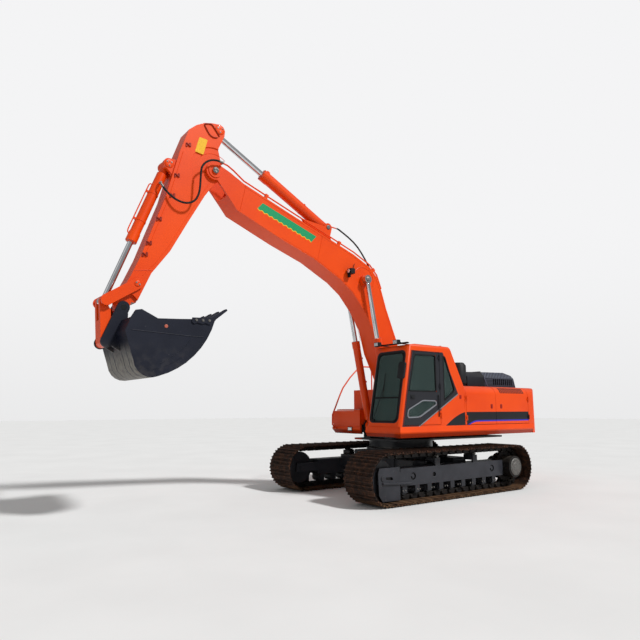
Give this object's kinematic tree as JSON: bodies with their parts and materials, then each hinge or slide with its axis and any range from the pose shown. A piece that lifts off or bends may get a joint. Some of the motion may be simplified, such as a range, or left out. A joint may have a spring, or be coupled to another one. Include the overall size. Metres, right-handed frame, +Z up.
{
  "type": "crawler excavator",
  "caption": "Tracked excavator with a cab, a boom, an arm and a bucket on hydraulic cylinders, whose upper house slews on a ring above the tracks.",
  "frame": {"origin": "on the ground under the slewing axis", "axes": "+X forward along the boom, +Y to the cab side, +Z up"},
  "size_m": [10.415, 3.48, 7.262],
  "materials": {
    "orange_paint": "glossy",
    "frame_paint": "satin",
    "track_steel": "rusty",
    "bare_steel": "machined",
    "chrome_rod": "polished",
    "black_plastic": "matte",
    "black_cover": "satin",
    "bucket_paint": "satin",
    "door_paint": "satin",
    "window_glass": "tinted",
    "seat_fabric": "woven",
    "engine_grey": "painted",
    "hose_rubber": "matte"
  },
  "bodies": {
    "undercarriage": {"carbody": "frame_paint", "track_frame_left": "frame_paint", "track_frame_right": "frame_paint", "track_left": "track_steel", "track_right": "track_steel", "idlers": "frame_paint", "sprockets": "frame_paint", "track_rollers": "frame_paint", "slew_ring": "bare_steel"},
    "house": {"slew_deck": "frame_paint", "cab_shell": "orange_paint", "cab_glass": "window_glass", "operator_seat": "seat_fabric", "cab_lamps": "black_plastic", "side_mirror": "black_plastic", "counterweight": "orange_paint", "body_shell": "orange_paint", "engine_block": "engine_grey", "hydraulic_tank": "orange_paint", "fuel_tank": "orange_paint", "tool_box": "orange_paint", "hand_rails": "orange_paint", "intake_stack": "black_plastic"},
    "cab_door": {"cab_door": "door_paint", "door_glass": "window_glass"},
    "side_door_front": {"side_door_front": "orange_paint"},
    "side_door_rear": {"side_door_rear": "orange_paint"},
    "pump_door": {"pump_door": "orange_paint"},
    "engine_hood": {"engine_hood": "black_cover"},
    "toolbox_lid": {"toolbox_lid": "orange_paint"},
    "boom": {"boom": "orange_paint", "boom_pipes": "orange_paint", "boom_lamp": "black_plastic"},
    "lift_barrels": {"lift_barrels": "orange_paint"},
    "lift_rods": {"lift_rods": "chrome_rod"},
    "crowd_barrel": {"crowd_barrel": "orange_paint"},
    "crowd_rod": {"crowd_rod": "chrome_rod"},
    "arm": {"arm": "orange_paint", "arm_hose": "hose_rubber"},
    "curl_barrel": {"curl_barrel": "orange_paint"},
    "curl_rod": {"curl_rod": "chrome_rod"},
    "rocker": {"rocker": "orange_paint"},
    "push_link": {"push_link": "orange_paint"},
    "bucket": {"bucket": "bucket_paint", "bucket_teeth": "bucket_paint"}
  },
  "joints": [
    {"name": "slew", "type": "hinge", "parent": "undercarriage", "child": "house", "pos_m": [0, 0, 1.1], "axis": [0, 0, 1], "continuous": true},
    {"name": "boom_lift", "type": "hinge", "parent": "house", "child": "boom", "pos_m": [0.1, 0, 1.95], "axis": [0, -1, 0], "range_deg": [-75, 20]},
    {"name": "lift_barrel_swing", "type": "hinge", "parent": "house", "child": "lift_barrels", "pos_m": [0.62, 0, 1.42], "axis": [0, -1, 0], "range_deg": [-73.5, 20]},
    {"name": "lift_rod_slide", "type": "slide", "parent": "lift_barrels", "child": "lift_rods", "axis": [0.2008, 0, 0.9796], "range_m": [-0.88, 0.24]},
    {"name": "arm_swing", "type": "hinge", "parent": "boom", "child": "arm", "pos_m": [4.97, 0, 6.27], "axis": [0, -1, 0], "range_deg": [-45, 60]},
    {"name": "crowd_barrel_swing", "type": "hinge", "parent": "boom", "child": "crowd_barrel", "pos_m": [2.2, 0, 5.72], "axis": [0, -1, 0], "range_deg": [-4, 5]},
    {"name": "crowd_rod_slide", "type": "slide", "parent": "crowd_barrel", "child": "crowd_rod", "axis": [0.8815, 0, 0.4721], "range_m": [-0.83, 0.63]},
    {"name": "bucket_curl", "type": "hinge", "parent": "arm", "child": "bucket", "pos_m": [6.53, 0, 3.48], "axis": [0, -1, 0], "range_deg": [-20, 115]},
    {"name": "rocker_swing", "type": "hinge", "parent": "arm", "child": "rocker", "pos_m": [6.33, 0, 3.9], "axis": [0, -1, 0], "range_deg": [-18, 99]},
    {"name": "link_swing", "type": "hinge", "parent": "bucket", "child": "push_link", "pos_m": [6.77, 0, 2.89], "axis": [0, -1, 0], "range_deg": [-72, 13]},
    {"name": "curl_barrel_swing", "type": "hinge", "parent": "arm", "child": "curl_barrel", "pos_m": [5.84, 0, 6.22], "axis": [0, -1, 0], "range_deg": [-2, 6.5]},
    {"name": "curl_rod_slide", "type": "slide", "parent": "curl_barrel", "child": "curl_rod", "axis": [0.3469, 0, -0.9379], "range_m": [-0.88, 0.16]},
    {"name": "cab_door_hinge", "type": "hinge", "parent": "house", "child": "cab_door", "pos_m": [0.267, 1.496, 1.9], "axis": [0, 0, -1], "range_deg": [-165, 0]},
    {"name": "side_door_front_hinge", "type": "hinge", "parent": "house", "child": "side_door_front", "pos_m": [-0.56, 1.496, 1.9], "axis": [0, 0, -1], "range_deg": [0, 95]},
    {"name": "side_door_rear_hinge", "type": "hinge", "parent": "house", "child": "side_door_rear", "pos_m": [-2.86, 1.496, 1.9], "axis": [0, 0, 1], "range_deg": [0, 95]},
    {"name": "pump_door_hinge", "type": "hinge", "parent": "house", "child": "pump_door", "pos_m": [-1.75, -1.496, 1.9], "axis": [0, 0, 1], "range_deg": [0, 95]},
    {"name": "engine_hood_hinge", "type": "hinge", "parent": "house", "child": "engine_hood", "pos_m": [-3.037, 0, 2.325], "axis": [0, -1, 0], "range_deg": [0, 50]},
    {"name": "toolbox_lid_hinge", "type": "hinge", "parent": "house", "child": "toolbox_lid", "pos_m": [0.17, -1, 1.802], "axis": [0, -1, 0], "range_deg": [0, 90]}
  ],
  "couplings": [
    {"joint": "lift_barrel_swing", "follows": "boom_lift", "ratio": 0.971},
    {"joint": "lift_rod_slide", "follows": "boom_lift", "m_per_rad": 0.668},
    {"joint": "crowd_barrel_swing", "follows": "arm_swing", "ratio": 0.071},
    {"joint": "crowd_rod_slide", "follows": "arm_swing", "m_per_rad": -0.785},
    {"joint": "rocker_swing", "follows": "bucket_curl", "ratio": 0.853},
    {"joint": "link_swing", "follows": "bucket_curl", "ratio": -0.622},
    {"joint": "curl_barrel_swing", "follows": "bucket_curl", "ratio": 0.052},
    {"joint": "curl_rod_slide", "follows": "bucket_curl", "m_per_rad": -0.433}
  ]
}
